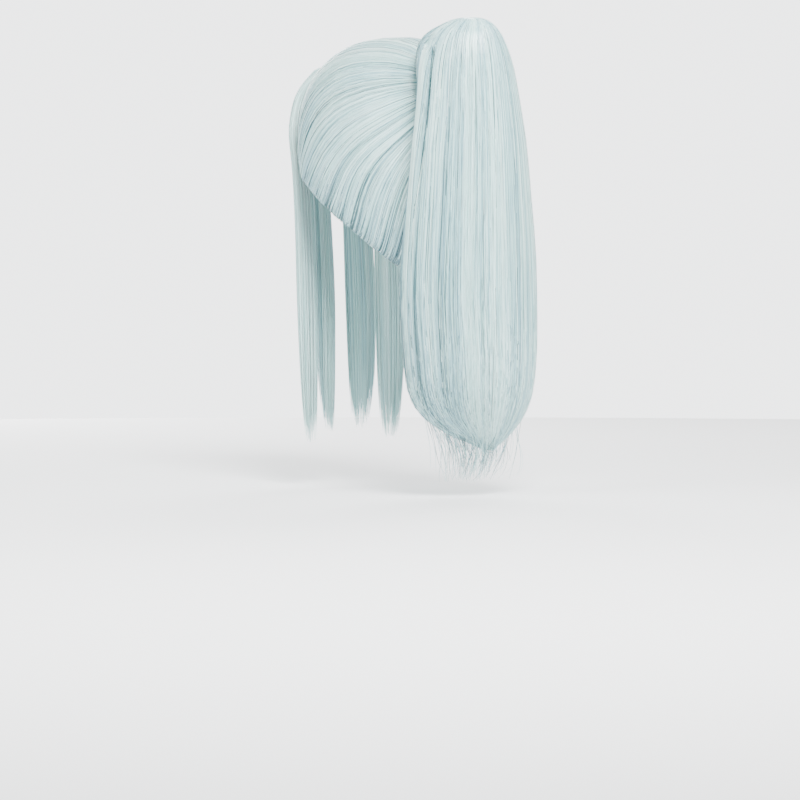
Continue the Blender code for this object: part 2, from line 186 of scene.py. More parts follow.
class Nodes:
    """A material's node tree, with its Principled shader."""

    def __init__(self, name, roughness, metallic=0.0, **sockets):
        self.material = bpy.data.materials.new(name)
        self.material.use_nodes = True
        self.tree = self.material.node_tree
        self.shader = self.tree.nodes["Principled BSDF"]
        self.shader.inputs["Roughness"].default_value = roughness
        self.shader.inputs["Metallic"].default_value = metallic
        for socket, value in sockets.items():
            self.shader.inputs[socket.replace("_", " ")].default_value = value

    def add(self, kind, **values):
        node = self.tree.nodes.new(kind)
        for key, value in values.items():
            if hasattr(node, key):
                setattr(node, key, value)
            else:
                node.inputs[key.replace("_", " ")].default_value = value
        return node

    def join(self, source, target):
        self.tree.links.new(source, target)

    def to_shader(self, source, socket):
        self.join(source, self.shader.inputs[socket])

    def attribute(self, name):
        return self.add("ShaderNodeAttribute", attribute_name=name).outputs["Fac"]

    def place(self, scale):
        """The object's own coordinates, stretched."""
        return self.stretched(self.add("ShaderNodeTexCoord").outputs["Object"], scale)

    def surface(self, scale):
        """The surface's own coordinates, stretched: across, then along."""
        return self.stretched(self.add("ShaderNodeUVMap", uv_map="cloth").outputs["UV"], scale)

    def stretched(self, where, scale):
        mapping = self.add("ShaderNodeMapping")
        mapping.inputs["Scale"].default_value = scale
        self.join(where, mapping.inputs["Vector"])
        return mapping.outputs["Vector"]

    def ramp(self, source, stops):
        node = self.add("ShaderNodeValToRGB")
        elements = node.color_ramp.elements
        while len(elements) < len(stops):
            elements.new(0.5)
        for element, (place, colour) in zip(elements, stops):
            element.position = place
            element.color = (*colour, 1.0)
        self.join(source, node.inputs["Fac"])
        return node.outputs["Color"]

    def mix(self, share, first, second, blend="MIX"):
        node = self.add("ShaderNodeMix", data_type="RGBA", blend_type=blend)
        for value, socket in ((share, node.inputs[0]), (first, node.inputs[6]), (second, node.inputs[7])):
            if isinstance(value, (int, float)):
                socket.default_value = value
            elif isinstance(value, tuple):
                socket.default_value = (*value, 1.0)
            else:
                self.join(value, socket)
        return node.outputs[2]

    def bump(self, source, strength, distance):
        node = self.add("ShaderNodeBump")
        node.inputs["Strength"].default_value = strength
        node.inputs["Distance"].default_value = distance
        self.join(source, node.inputs["Height"])
        self.to_shader(node.outputs["Normal"], "Normal")


SHADE = (0.08, 0.185, 0.20)
SILVER = (0.30, 0.52, 0.59)
MINT = (0.46, 0.75, 0.72)
PALE = (0.70, 0.92, 0.90)


def fibre_material():
    """Single strands: each has its own tone, and each lock of them another; the tone also carries painted
    shade and a painted highlight.
    """
    made = Nodes("hair_fibre", 0.23, Anisotropic=0.6, Specular_IOR_Level=0.9)
    tone = made.ramp(made.attribute("tone"), ((0.0, SHADE), (0.3, SILVER), (0.65, MINT), (1.0, PALE)))
    cloud = made.add("ShaderNodeTexNoise", Scale=1.0, Detail=2.0)
    made.join(made.place((22, 22, 5)), cloud.inputs["Vector"])
    tint = made.ramp(cloud.outputs["Fac"], ((0.3, (0.90, 0.94, 0.97)), (0.7, (1.0, 1.0, 0.985))))
    made.to_shader(made.mix(1.0, tone, tint, "MULTIPLY"), "Base Color")
    return made.material


def core_material():
    """The packed fibre below the strands that show, streaked along its flow."""
    made = Nodes("hair_core", 0.5, Specular_IOR_Level=0.35)
    fine = made.add("ShaderNodeTexNoise", Scale=1.0, Detail=4.0, Roughness=0.7)
    made.join(made.surface((260, 5, 1)), fine.inputs["Vector"])
    colour = made.ramp(fine.outputs["Fac"], ((0.3, SHADE), (0.52, (0.46, 0.61, 0.64)), (0.75, SILVER)))
    made.to_shader(colour, "Base Color")
    made.bump(fine.outputs["Fac"], 0.8, 0.0012)
    return made.material


def net_material():
    """Open stretch net: fine crossing threads."""
    made = Nodes("cap_net", 0.85, Sheen_Weight=0.25)
    lines = []
    for turn in (45, -45):
        wave = made.add("ShaderNodeTexWave", Scale=1.0, Distortion=0.4, Detail=1.0)
        where = made.surface((150, 130, 1))
        where.node.inputs["Rotation"].default_value = (0, 0, math.radians(turn))
        made.join(where, wave.inputs["Vector"])
        lines.append(wave.outputs["Fac"])
    both = made.mix(1.0, lines[0], lines[1], "LIGHTEN")
    stops = ((0.35, (0.30, 0.35, 0.355)), (0.75, (0.60, 0.67, 0.67)), (1.0, (0.72, 0.78, 0.78)))
    colour = made.ramp(both, stops)
    made.to_shader(colour, "Base Color")
    made.bump(both, 0.9, 0.0006)
    return made.material


def woven_material(name, dark, light, scale, roughness, ribs="X", painted_highlight=0.3):
    """Ribbon or elastic: ribs one way and a finer thread the other way."""
    made = Nodes(name, roughness, Sheen_Weight=painted_highlight)
    rib = made.add("ShaderNodeTexWave", Scale=1.0, Distortion=0.25, Detail=2.0, bands_direction=ribs)
    made.join(made.surface(scale), rib.inputs["Vector"])
    fuzz = made.add("ShaderNodeTexNoise", Scale=900.0, Detail=3.0)
    made.join(made.place((1, 1, 1)), fuzz.inputs["Vector"])
    both = made.mix(0.35, rib.outputs["Fac"], fuzz.outputs["Fac"])
    made.to_shader(made.ramp(both, ((0.2, dark), (0.8, light))), "Base Color")
    made.bump(both, 0.7, 0.0005)
    return made.material


def plastic_material(name, colour, roughness):
    """Moulded plastic with faint flow marks and fine scuffs."""
    made = Nodes(name, roughness, Specular_IOR_Level=0.5, Coat_Weight=0.15)
    flow_marks = made.add("ShaderNodeTexNoise", Scale=90.0, Detail=3.0)
    made.join(made.place((1, 1, 0.35)), flow_marks.inputs["Vector"])
    darker = tuple(0.86 * c for c in colour)
    made.to_shader(made.ramp(flow_marks.outputs["Fac"], ((0.3, darker), (0.7, colour))), "Base Color")
    scuffs = made.add("ShaderNodeTexNoise", Scale=700.0, Detail=4.0)
    made.join(made.place((1, 1, 1)), scuffs.inputs["Vector"])
    made.bump(scuffs.outputs["Fac"], 0.12, 0.0002)
    return made.material


def steel_material():
    """Drawn wire: streaks along it."""
    made = Nodes("steel", 0.28, 1.0, Anisotropic=0.4)
    streaks = made.add("ShaderNodeTexNoise", Scale=60.0, Detail=4.0)
    made.join(made.place((20, 20, 1)), streaks.inputs["Vector"])
    colour = made.ramp(streaks.outputs["Fac"], ((0.3, (0.42, 0.42, 0.43)), (0.7, (0.66, 0.66, 0.67))))
    made.to_shader(colour, "Base Color")
    made.bump(streaks.outputs["Fac"], 0.2, 0.0001)
    return made.material


FIBRE = fibre_material()
CORE = core_material()
NETTING = net_material()
RIBBON = woven_material(
    "cap_ribbon", (0.36, 0.43, 0.44), (0.72, 0.79, 0.79), (240, 40, 1), roughness=0.8, painted_highlight=0.6
)
ELASTIC = woven_material(
    "elastic", (0.34, 0.38, 0.39), (0.62, 0.67, 0.68), (60, 220, 1), roughness=0.7, ribs="Y", painted_highlight=0.2
)
THREAD = woven_material(
    "sewing_thread", (0.60, 0.66, 0.67), (0.82, 0.87, 0.87), (900, 900, 1), roughness=0.6, ribs="DIAGONAL"
)
HOOK_PLASTIC = plastic_material("hook_plastic", (0.72, 0.75, 0.76), 0.42)
CLAW_PLASTIC = plastic_material("claw_plastic", (0.66, 0.74, 0.75), 0.25)
STEEL = steel_material()

# ---------------------------------------------------------------- meshes

MIDDLE_TONE = 0.5


def raw_mesh(name, vertices, quads, triangles, material, attributes=(), uv=None):
    """A mesh from arrays, with values at its points and a place on the cloth at each."""
    mesh = bpy.data.meshes.new(name)
    quads = np.asarray(quads, np.int32).reshape(-1, 4)
    triangles = np.asarray(triangles, np.int32).reshape(-1, 3)
    corners = np.concatenate((quads.ravel(), triangles.ravel())).astype(np.int32)
    starts = np.concatenate(
        (np.arange(len(quads)) * 4, len(quads) * 4 + np.arange(len(triangles)) * 3)
    ).astype(np.int32)
    mesh.vertices.add(len(vertices))
    mesh.vertices.foreach_set("co", np.asarray(vertices, np.float32).ravel())
    mesh.loops.add(len(corners))
    mesh.loops.foreach_set("vertex_index", corners)
    mesh.polygons.add(len(starts))
    mesh.polygons.foreach_set("loop_start", starts)
    mesh.update(calc_edges=True)
    for key, values in attributes:
        made = mesh.attributes.new(key, "FLOAT", "POINT")
        made.data.foreach_set("value", np.asarray(values, np.float32).ravel())
    if uv is not None:
        layer = mesh.uv_layers.new(name="cloth")
        layer.data.foreach_set("uv", np.asarray(uv, np.float32)[corners].ravel())
    mesh.validate()
    mesh.shade_smooth()
    mesh.materials.append(material)
    obj = bpy.data.objects.new(name, mesh)
    bpy.context.scene.collection.objects.link(obj)
    return obj


def carried_across(tangent):
    """A direction across each strand, carried along it without twisting."""
    steep = np.abs(tangent[:, :1, 2]) > 0.7
    side = np.where(steep, np.array((1.0, 0.0, 0.0)), np.array((0.0, 0.0, 1.0)))
    found = []
    for i in range(tangent.shape[1]):
        side = side - np.sum(side * tangent[:, i], axis=-1, keepdims=True) * tangent[:, i]
        side = side / (np.linalg.norm(side, axis=-1, keepdims=True) + 1e-12)
        found.append(side)
    return np.stack(found, axis=1)


def tubes(name, paths, radius, material, tone=None, sides=3, closed=False):
    """Closed round strands along paths (strand, point, xyz), each with its radius at every point."""
    count, points, _ = paths.shape
    radius = np.broadcast_to(np.asarray(radius, float), (count, points))
    tone = np.full((count, 1), MIDDLE_TONE) if tone is None else np.asarray(tone, float).reshape(count, -1)
    tone = np.broadcast_to(tone, (count, points))
    tangent = np.gradient(paths, axis=1)
    if closed:
        tangent = np.roll(paths, -1, axis=1) - np.roll(paths, 1, axis=1)
    tangent /= np.linalg.norm(tangent, axis=-1, keepdims=True) + 1e-12
    if closed:
        side = np.cross(tangent, np.array((0.0, 0.3, 1.0)))
        side /= np.linalg.norm(side, axis=-1, keepdims=True) + 1e-12
    else:
        side = carried_across(tangent)
    across = np.cross(tangent, side)
    angles = 2 * math.pi * np.arange(sides) / sides
    ring = (
        paths[:, :, None]
        + radius[:, :, None, None]
        * (np.cos(angles)[:, None] * side[:, :, None] + np.sin(angles)[:, None] * across[:, :, None])
    )
    body = np.arange(count * points * sides).reshape(count, points, sides)
    following = np.roll(body, -1, axis=1) if closed else body[:, 1:]
    leading = body if closed else body[:, :-1]
    quads = np.stack(
        (leading, np.roll(leading, -1, axis=2), np.roll(following, -1, axis=2), following), axis=-1
    )
    vertices = ring.reshape(-1, 3)
    tones = np.repeat(tone[:, :, None], sides, axis=2).ravel()
    along = np.broadcast_to(np.linspace(0, 1, points)[None, :, None], (count, points, sides)).ravel()
    turns = np.broadcast_to(np.arange(sides) / sides, (count, points, sides)).ravel()
    triangles = np.zeros((0, 3), int)
    if not closed:
        first, last = len(vertices) + np.arange(count), len(vertices) + count + np.arange(count)
        vertices = np.concatenate(
            (
                vertices,
                paths[:, 0] - tangent[:, 0] * radius[:, :1],
                paths[:, -1] + tangent[:, -1] * radius[:, -1:],
            )
        )
        tones = np.concatenate((tones, tone[:, 0], tone[:, -1]))
        along = np.concatenate((along, np.zeros(count), np.ones(count)))
        turns = np.concatenate((turns, np.zeros(count), np.zeros(count)))
        near, far = body[:, 0], body[:, -1]
        triangles = np.concatenate(
            (
                np.stack((np.roll(near, -1, 1), near, np.repeat(first[:, None], sides, 1)), -1),
                np.stack((far, np.roll(far, -1, 1), np.repeat(last[:, None], sides, 1)), -1),
            )
        )
    uv = np.stack((turns, along), axis=-1)
    return raw_mesh(name, vertices, quads, triangles, material, (("tone", tones),), uv)


def grid_shell(name, outer, inner, material, ring=False, uv_size=(1, 1)):
    """A closed wall between two grids (across, along, xyz). With ring, its sides meet."""
    across, along, _ = outer.shape
    top = np.arange(across * along).reshape(across, along)
    low = top + across * along
    faces = []

    def wall(grid, flip):
        shifted = np.roll(grid, -1, axis=0) if ring else grid[1:]
        base = grid if ring else grid[:-1]
        made = np.stack((base[:, :-1], shifted[:, :-1], shifted[:, 1:], base[:, 1:]), axis=-1)
        made = made.reshape(-1, 4)
        faces.append(made[:, ::-1] if flip else made)

    def edge(a, b, cyclic=False):
        a_next, b_next = (np.roll(a, -1), np.roll(b, -1)) if cyclic else (a[1:], b[1:])
        a_base, b_base = (a, b) if cyclic else (a[:-1], b[:-1])
        faces.append(np.stack((a_base, b_base, b_next, a_next), axis=-1))

    wall(top, False)
    wall(low, True)
    edge(top[:, 0], low[:, 0], ring)
    edge(low[:, -1], top[:, -1], ring)
    if not ring:
        edge(low[0], top[0])
        edge(top[-1], low[-1])
    vertices = np.concatenate((outer.reshape(-1, 3), inner.reshape(-1, 3)))
    around, down = np.linspace(0, uv_size[0], across), np.linspace(0, uv_size[1], along)
    u, v = np.meshgrid(around, down, indexing="ij")
    uv = np.tile(np.stack((u, v), axis=-1).reshape(-1, 2), (2, 1))
    obj = raw_mesh(name, vertices, np.concatenate(faces), [], material, (), uv)
    return facing_out(obj)


def facing_out(obj):
    shape = bmesh.new()
    shape.from_mesh(obj.data)
    bmesh.ops.remove_doubles(shape, verts=shape.verts, dist=0.005 * MM)
    bmesh.ops.recalc_face_normals(shape, faces=shape.faces)
    if shape.calc_volume(signed=True) < 0:
        bmesh.ops.reverse_faces(shape, faces=shape.faces)
    shape.to_mesh(obj.data)
    shape.free()
    return obj


def cap_patch(name, columns, rows, low, high, material, fineness=(1.5, 0.012)):
    """A sewn piece on the head form, between two angles and two shares of the way to the hairline."""
    start, end = columns
    across = max(3, int(abs(end - start) / fineness[0]) + 1)
    along = max(3, int((rows[1] - rows[0]) / fineness[1]) + 1)
    degrees = np.linspace(start, end, across)[:, None]
    share = np.linspace(rows[0], rows[1], along)[None, :]
    size = (abs(end - start) / 60, rows[1] - rows[0])
    return grid_shell(name, flow(degrees, share, high), flow(degrees, share, low), material, uv_size=size)


def placed(obj, body, slot, *nodes):
    """The object moves with this body and stands for these nodes of the model. Its slot is not used."""
    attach(obj, body)
    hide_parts(*nodes)
    return obj


def dress(node, body, slot, material, bevel):
    """A piece with the model's own shape, its edges rounded."""
    source = frame["nodes"][node]
    obj = bpy.data.objects.new(f"{node}_finished", source.data.copy())
    obj.data.materials.clear()
    obj.data.materials.append(material)
    bpy.context.scene.collection.objects.link(obj)
    shape = bmesh.new()
    shape.from_mesh(obj.data)
    bmesh.ops.remove_doubles(shape, verts=shape.verts, dist=0.003 * MM)
    bmesh.ops.dissolve_limit(shape, angle_limit=math.radians(1), verts=shape.verts, edges=shape.edges)
    shape.to_mesh(obj.data)
    shape.free()
    points = np.array([v.co for v in obj.data.vertices])
    corners = np.array([loop.vertex_index for loop in obj.data.loops])
    while obj.data.uv_layers:
        obj.data.uv_layers.remove(obj.data.uv_layers[0])
    layer = obj.data.uv_layers.new(name="cloth")
    layer.data.foreach_set("uv", (points[corners][:, :2] * 30).astype(np.float32).ravel())
    edges = obj.modifiers.new("edges", "BEVEL")
    edges.width = bevel
    edges.segments = 2
    edges.limit_method = "ANGLE"
    edges.angle_limit = math.radians(35)
    obj.data.shade_smooth()
    smooth = obj.modifiers.new("even shading", "WEIGHTED_NORMAL")
    smooth.keep_sharp = True
    return placed(obj, body, slot, node)


# ---------------------------------------------------------------- the cap, sewn

# The sewn rows' radius, and how far their middle lies below the net, in mm.
WEFT_RADIUS = 0.4 * MM
WEFT_SUNK = 0.45
# Half the width of an ear stay and of a crown tape, in degrees round the head.
STAY_REACH, TAPE_REACH = 3, 3.75


def stitches(name, degrees, share, offset, length=1.6 * MM, radius=0.14 * MM):
    """A row of short stitches along a line of the cap."""
    line = flow(degrees, share, offset)
    gaps = np.linalg.norm(np.diff(line, axis=0), axis=1)
    travel = np.concatenate(((0,), np.cumsum(gaps)))
    starts = np.arange(0, travel[-1] - length, length * 1.55)
    at = starts[:, None] + np.linspace(0, length, 4)[None, :]
    paths = np.stack([np.interp(at, travel, line[:, i]) for i in range(3)], axis=-1)
    return tubes(name, paths, radius, THREAD, sides=4)


def cap():
    degrees, share = np.arange(0, 360, 2)[:, None], np.linspace(0.012, 0.985, 80)[None, :]
    outer, inner = flow(degrees, share, NET + CLOTH), flow(degrees, share, NET)
    net = grid_shell("cap_net_knitted", outer, inner, NETTING, ring=True, uv_size=(6, 1))
    placed(net, "cap", "net", "cap_net")
    row_shares = np.concatenate((np.arange(0.14, 0.8, 0.055), (0.81, 0.835)))
    rows = [flow(np.linspace(0, 360, 181)[:-1], share, NET - WEFT_SUNK) for share in row_shares]
    wefts = tubes("cap_weft_rows", np.array(rows), WEFT_RADIUS, THREAD, sides=6, closed=True)
    placed(wefts, "cap", "net", "cap_net")
    bands()
    stays_and_tapes()
    for side in ("left", "right"):
        body = f"adjuster_{side}"
        dress(f"adjuster_strap_{side}", body, "elastic", ELASTIC, 0.15 * MM)
        dress(f"adjuster_hook_{side}", body, "hook_plastic", HOOK_PLASTIC, 0.25 * MM)


def bands():
    """The bands round the hairline, each with a row of stitches along both edges."""
    for name, columns, rows, material, finish in (
        ("forehead_band", (-45, 45), (0.86, 1.0), RIBBON, "ribbon"),
        ("nape_band", (120, 240), (0.86, 1.0), ELASTIC, "elastic"),
        ("ear_tab_left", (45.5, 119.5), (0.80, 1.0), RIBBON, "ribbon"),
        ("ear_tab_right", (-119.5, -45.5), (0.80, 1.0), RIBBON, "ribbon"),
    ):
        band = cap_patch(f"{name}_sewn", columns, rows, LINING, LINING + CLOTH, material)
        placed(band, "cap", finish, name)
        for i, share in enumerate((rows[0] + 0.012, rows[1] - 0.014)):
            degrees = np.linspace(columns[0] + 0.6, columns[1] - 0.6, 240)
            seam = stitches(f"{name}_stitches_{i}", degrees, share, LINING - 0.05)
            placed(seam, "cap", finish, name)


def stays_and_tapes():
    """The bendable stays in the ear tabs, and the ribbons over the crown that carry the wefts."""
    for side, middle in (("left", 60), ("right", -60)):
        name, columns = f"ear_stay_{side}", (middle - STAY_REACH, middle + STAY_REACH)
        stay = cap_patch(f"{name}_moulded", columns, (0.83, 0.97), 0.0, CLOTH, HOOK_PLASTIC, (1, 0.01))
        placed(stay, "cap", "hook_plastic", name)
    places = (("centre", 0), ("left", 75), ("right", -75), ("nape_left", 150), ("nape_right", -150))
    for place, middle in places:
        name, columns = f"crown_tape_{place}", (middle - TAPE_REACH, middle + TAPE_REACH)
        tape = cap_patch(f"{name}_sewn", columns, (0.2, 0.97), TAPE, TAPE + CLOTH, RIBBON)
        placed(tape, "cap", "ribbon", name)


# ---------------------------------------------------------------- the swept hair

# The width of a lock and the gap between partings, in degrees round the hairline.
SWEPT_LOCK, PARTING_GAP = 1.35, 4
SWEPT_POINTS, SWEPT_RADIUS = 16, 0.35 * MM
# How much of the strands lies loose between the locks, and where the strands end at the tie.
SWEPT_LOOSE, SWEPT_END = 0.45, 0.06
# How high the strands' roots lie over the head form, in mm, and the share of the way in which they rise.
ROOT_HEIGHT, ROOT_RISE = 4.6, 0.045
# Where the packed fibre ends at the hairline, and how wide its sloping edge is.
CORE_END, CORE_EDGE = 0.985, 0.09


def lift(degrees, share):
    """How far the hair rises towards the tie, in mm, most of it over the crown."""
    turn = np.abs((np.asarray(degrees) + 180) % 360 - 180)
    weight = np.interp(turn, (0, 35, 90, 140, 180), (1.0, 0.95, 0.6, 0.3, 0.15))
    return 9.5 * weight * np.exp(-((share / 0.34) ** 2)) + 1.2 * weight


def bow(degrees, share):
    """How far the strands bend forward on their way, in degrees round the head."""
    weight = np.interp(np.abs(degrees), (30, 105, 145, 175), (0, 1, 0.7, 0))
    return 15 * weight * np.sin(math.pi * np.clip(share, 0, 1)) ** 1.2


def swept_paths(start, end, count):
    """Strands from the hairline to the tie, gathered in narrow locks with a few deeper partings."""
    lock_count = int((end - start) / SWEPT_LOCK)
    lock_width = (end - start) / lock_count
    lock_middle = start + (np.arange(lock_count) + 0.5 + RNG.uniform(-0.6, 0.6, lock_count)) * lock_width
    lock_height = RNG.normal(0, 0.5, lock_count)
    parting = RNG.uniform(start, end, int((end - start) / PARTING_GAP))
    lock_tone = RNG.uniform(-0.32, 0.32, lock_count)
    lock_sway = RNG.uniform(-1.3, 1.3, (lock_count, 2))
    lock = RNG.integers(0, lock_count, count)
    spread = np.clip(RNG.normal(0, 0.6, count), -1.6, 1.6) * lock_width
    foot = 1.010 + RNG.uniform(-0.012, 0.006, count)
    travel = np.linspace(0, 1, SWEPT_POINTS) ** 1.5
    share = foot[:, None] + (SWEPT_END - foot[:, None]) * travel[None, :]
    slow, quick = np.sin(math.pi * travel), 0.5 * np.sin(2 * math.pi * travel)
    sway = (lock_sway[lock, :1] * slow + lock_sway[lock, 1:] * quick) * 0.8
    stray = np.where(RNG.random(count) < 0.05, RNG.normal(0, 2.2, count), 0)[:, None] * travel
    loose = RNG.random(count) < SWEPT_LOOSE
    middle = np.where(loose, RNG.uniform(start, end, count), lock_middle[lock] + spread)
    degrees = middle[:, None] + sway + stray
    degrees = np.clip(degrees, start - 0.6, end + 0.6)
    degrees = np.where(degrees > 180, degrees - 360, degrees)
    degrees = degrees - np.sign(degrees) * bow(degrees, share)
    rise = np.clip((foot[:, None] - share) / ROOT_RISE, 0, 1)
    depth = np.abs(RNG.normal(0, 0.75, count))
    groove = 0.35 * (np.abs(spread) / (0.5 * lock_width)) ** 2
    height = ROOT_HEIGHT + (HAIR_TOP - 0.4 - ROOT_HEIGHT) * np.sqrt(rise)
    unevenness = np.where(loose, RNG.normal(-0.3, 0.3, count), lock_height[lock] - groove) - depth * 0.6
    height = height + unevenness[:, None] * rise + lift(degrees, share)
    to_parting = np.min(np.abs(middle[:, None] - parting[None, :]), axis=1)
    sunk = np.exp(-((to_parting / 0.5) ** 2))
    height = height - 1.7 * sunk[:, None] * rise
    # Strands lying lower in a lock, and strands in a parting, are painted darker: painted shade.
    tone = 0.66 + lock_tone[lock] + RNG.normal(0, 0.26, count) - 0.1 * depth - 0.9 * sunk
    # Darker towards the hairline, and painted shade where the strands gather at the tie.
    painted_shade = 0.30 * np.exp(-(((share - 1.05) / 0.3) ** 2)) + 0.25 * np.exp(-((share / 0.16) ** 2))
    # A painted highlight: a brighter band partway from the hairline to the tie.
    painted_highlight = 0.16 * np.exp(-(((share - 0.42) / 0.17) ** 2))
    tone = tone[:, None] - painted_shade + painted_highlight
    return flow(degrees, share, height, GATHER_DIRECTION), np.clip(tone, 0, 1)


def strand_radius(count, points, thick, start=0.75, tip=0.35):
    """The strands' radius at every point: thickest in the middle, finer at both ends."""
    along = np.linspace(0, 1, points)
    profile = np.interp(along, (0, 0.08, 0.85, 1), (start, 1, 0.9, tip))
    return RNG.uniform(0.78, 1.22, (count, 1)) * thick * profile[None, :]


def swept_hair():
    for name, start, end, count in (
        ("top_hair", -30, 30, 1700),
        ("side_hair_left", 30, 142.5, 3900),
        ("nape_hair", 142.5, 217.5, 1500),
        ("side_hair_right", -142.5, -30, 3900),
    ):
        across = int((end - start) / 1.5) + 1
        degrees = np.linspace(start + 0.3, end - 0.3, across)[:, None]
        share = np.linspace(0.05, CORE_END, 60)[None, :]
        edge = np.clip((CORE_END - share) / CORE_EDGE, 0, 1)
        top = HAIR_FOOT - 1.6 + (CORE_TOP - HAIR_FOOT + 1.6) * edge + lift(degrees, share) - 0.6
        packed = grid_shell(
            f"{name}_packed",
            flow(degrees, share, top, GATHER_DIRECTION),
            flow(degrees, share, np.minimum(HAIR_FOOT - 1.0, top - 0.5), GATHER_DIRECTION),
            CORE,
            uv_size=((end - start) / 120, 1),
        )
        placed(packed, "cap", "fibre", name)
        paths, tone = swept_paths(start, end, count)
        radius = strand_radius(count, SWEPT_POINTS, SWEPT_RADIUS)
        strands = tubes(f"{name}_strands", paths, radius, FIBRE, tone)
        placed(strands, "cap", "fibre", name)


def tail():
    """The short tail at the root: a bundle of strands with an elastic wound three times round its foot."""
    count, points = 420, 6
    angle = RNG.uniform(0, 2 * math.pi, count)
    reach = np.sqrt(RNG.uniform(0, 1, count))
    along = np.array((-6, -2, 1.5, 4, 8, 20.0))
    radius = np.array((9, 7.5, 5.2, 5.2, 5.4, 4.0))
    slide = np.array((17, 9, 1.5, 0, 0, 0.0))
    downhill = np.array((0.0, ROOT_NORMAL[2], -ROOT_NORMAL[1]))
    left = np.array((1.0, 0, 0))
    across = np.cross(ROOT_NORMAL, left)
    paths = (
        ROOT_POINT
        + ROOT_NORMAL * along[None, :, None] * MM
        + downhill * slide[None, :, None] * MM
        + (reach * np.cos(angle))[:, None, None] * radius[None, :, None] * MM * left
        + (reach * np.sin(angle))[:, None, None] * radius[None, :, None] * MM * across
    )
    tone = np.clip(RNG.normal(0.5, 0.18, count), 0, 1)
    bundle = tubes("tail_stub_strands", paths, 0.4 * MM, FIBRE, tone)
    placed(bundle, "cap", "fibre", "tail_stub")
    turn = np.linspace(0, 2 * math.pi, 49)[:-1]
    loops = []
    for i in range(3):
        rise = (0.9 + 1.1 * i + 0.25 * np.sin(turn + 2 * i)) * MM
        size = (6.2 + 0.25 * np.sin(2 * turn + i)) * MM
        loops.append(
            ROOT_POINT
            + rise[:, None] * ROOT_NORMAL
            + (size * np.cos(turn))[:, None] * left
            + (size * np.sin(turn))[:, None] * across
        )
    band = tubes("tail_elastic_wound", np.array(loops), 0.62 * MM, ELASTIC, sides=8, closed=True)
    placed(band, "cap", "elastic", "tail_elastic")


# ---------------------------------------------------------------- the claw clip and its pad


def clip():
    for side in ("left", "right"):
        dress(f"claw_jaw_{side}", f"claw_{side}", "claw_plastic", CLAW_PLASTIC, 0.3 * MM)
    dress("claw_pin", "clip", "steel", STEEL, 0.2 * MM)
    dress("ponytail_pad", "clip", "net", NETTING, 0.2 * MM)
    dress("weft_inner", "clip", "ribbon", RIBBON, 0.25 * MM)
    dress("weft_outer", "clip", "ribbon", RIBBON, 0.25 * MM)
    turns, radius = 4, 2.3 * MM
    angle = np.linspace(0, 2 * math.pi * turns, 24 * turns + 1)
    left = np.array((1.0, 0, 0))
    along = 1.5 * MM * (angle / (2 * math.pi) - turns / 2)
    coil = (
        CLAW_AXIS_POINT
        + (radius * np.sin(angle))[:, None] * left
        + (radius * np.cos(angle))[:, None] * ROOT_NORMAL
        + along[:, None] * CLAW_AXIS
    )
    spring = tubes("claw_spring_wound", coil[None], 0.45 * MM, STEEL, sides=8)
    placed(spring, "clip", "steel", "claw_spring")


# ---------------------------------------------------------------- the ponytail

# Its outline from crown to tip: (height, middle's x and y, half width, depth in front, depth behind), in mm.
MAIN_OUTLINE = (
    (127, 1, 139, 1, 1, 1),
    (126, 1, 138, 12, 15, 13),
    (122, 1, 136, 22, 27, 23),
    (113, 1, 130, 34, 42, 35),
    (101, 1, 128, 42, 50, 41),
    (83, 1, 129, 49, 44, 44),
    (60, 1, 131, 54, 29, 45),
    (30, 1, 133, 59, 25.5, 46),
    (0, 1, 134, 64, 25.5, 47),
    (-50, 1, 135, 69, 32, 48),
    (-100, 0, 135, 74, 42, 48),
    (-150, 0, 135, 76, 47, 48),
    (-200, -2, 135, 74, 46, 48),
    (-240, -6, 131, 69, 43, 45),
    (-264, -12, 128, 57, 36, 36),
    (-282, -20, 127, 36, 23, 23),
    (-293, -28, 126, 16, 11, 11),
    (-300, -32, 126, 5, 4, 4),
)
WISP_OUTLINE = MAIN_OUTLINE[:13] + (
    (-240, -2, 132, 68, 42, 44),
    (-270, -9, 128, 55, 34, 34),
    (-296, -14, 124, 42, 26, 24),
    (-316, -14, 121, 34, 20, 18),
    (-330, -12, 120, 30, 16, 14),
)
# Ways round the ponytail, in degrees: 0 is its left side and 90 its back.
CREASES = (10, 170)
FRONT = -90
# Half the opening in front of the clip, and the place on the outline that it reaches down to.
FRONT_GAP, GAP_FOOT = 46, 6.05
FALL_LOCK = 1.7
FALL_POINTS, FALL_RADIUS = 26, 0.38 * MM
VEIL_COUNT = 700
WISP_COUNT, WISP_RADIUS = 260, 0.25 * MM
# Where the wisps start on the outline, and where they leave the other strands.
WISP_START, WISP_FREE = 8.0, 13
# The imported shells' outer and inner faces, as shares of the outline, and the places on it where they end.
SHELL_OUTER, SHELL_INNER = 0.925, 0.84
FALL_TOP, CROWN_FOOT, FALL_FOOT = 6.1, 7.3, 15.4


def outline_point(outline, place, degrees, share):
    """A point of the ponytail: how far down its outline, which way round, and how far out from its middle."""
    z, x, y, width, front, back = np.moveaxis(spline(outline, place), -1, 0)
    angle = np.radians(degrees)
    reach = np.where(np.sin(angle) > 0, back, front)
    return (
        np.stack((x + share * width * np.cos(angle), y + share * reach * np.sin(angle), z), axis=-1) * MM
    )


def crease_depth(degrees, height):
    """How far the strands sink into the two creases beside the front curtain, as a share of the outline."""
    turned = np.interp(height, (92, 124), (0, 42))
    places = (CREASES[0] - turned, CREASES[1] + turned)
    away = np.min([np.abs((degrees - c + 180) % 360 - 180) for c in places], axis=0)
    fade = np.interp(height, (-60, 60, 95, 116), (0, 1, 1, 0.4))
    return 0.30 * np.exp(-((away / 4.5) ** 2)) * fade


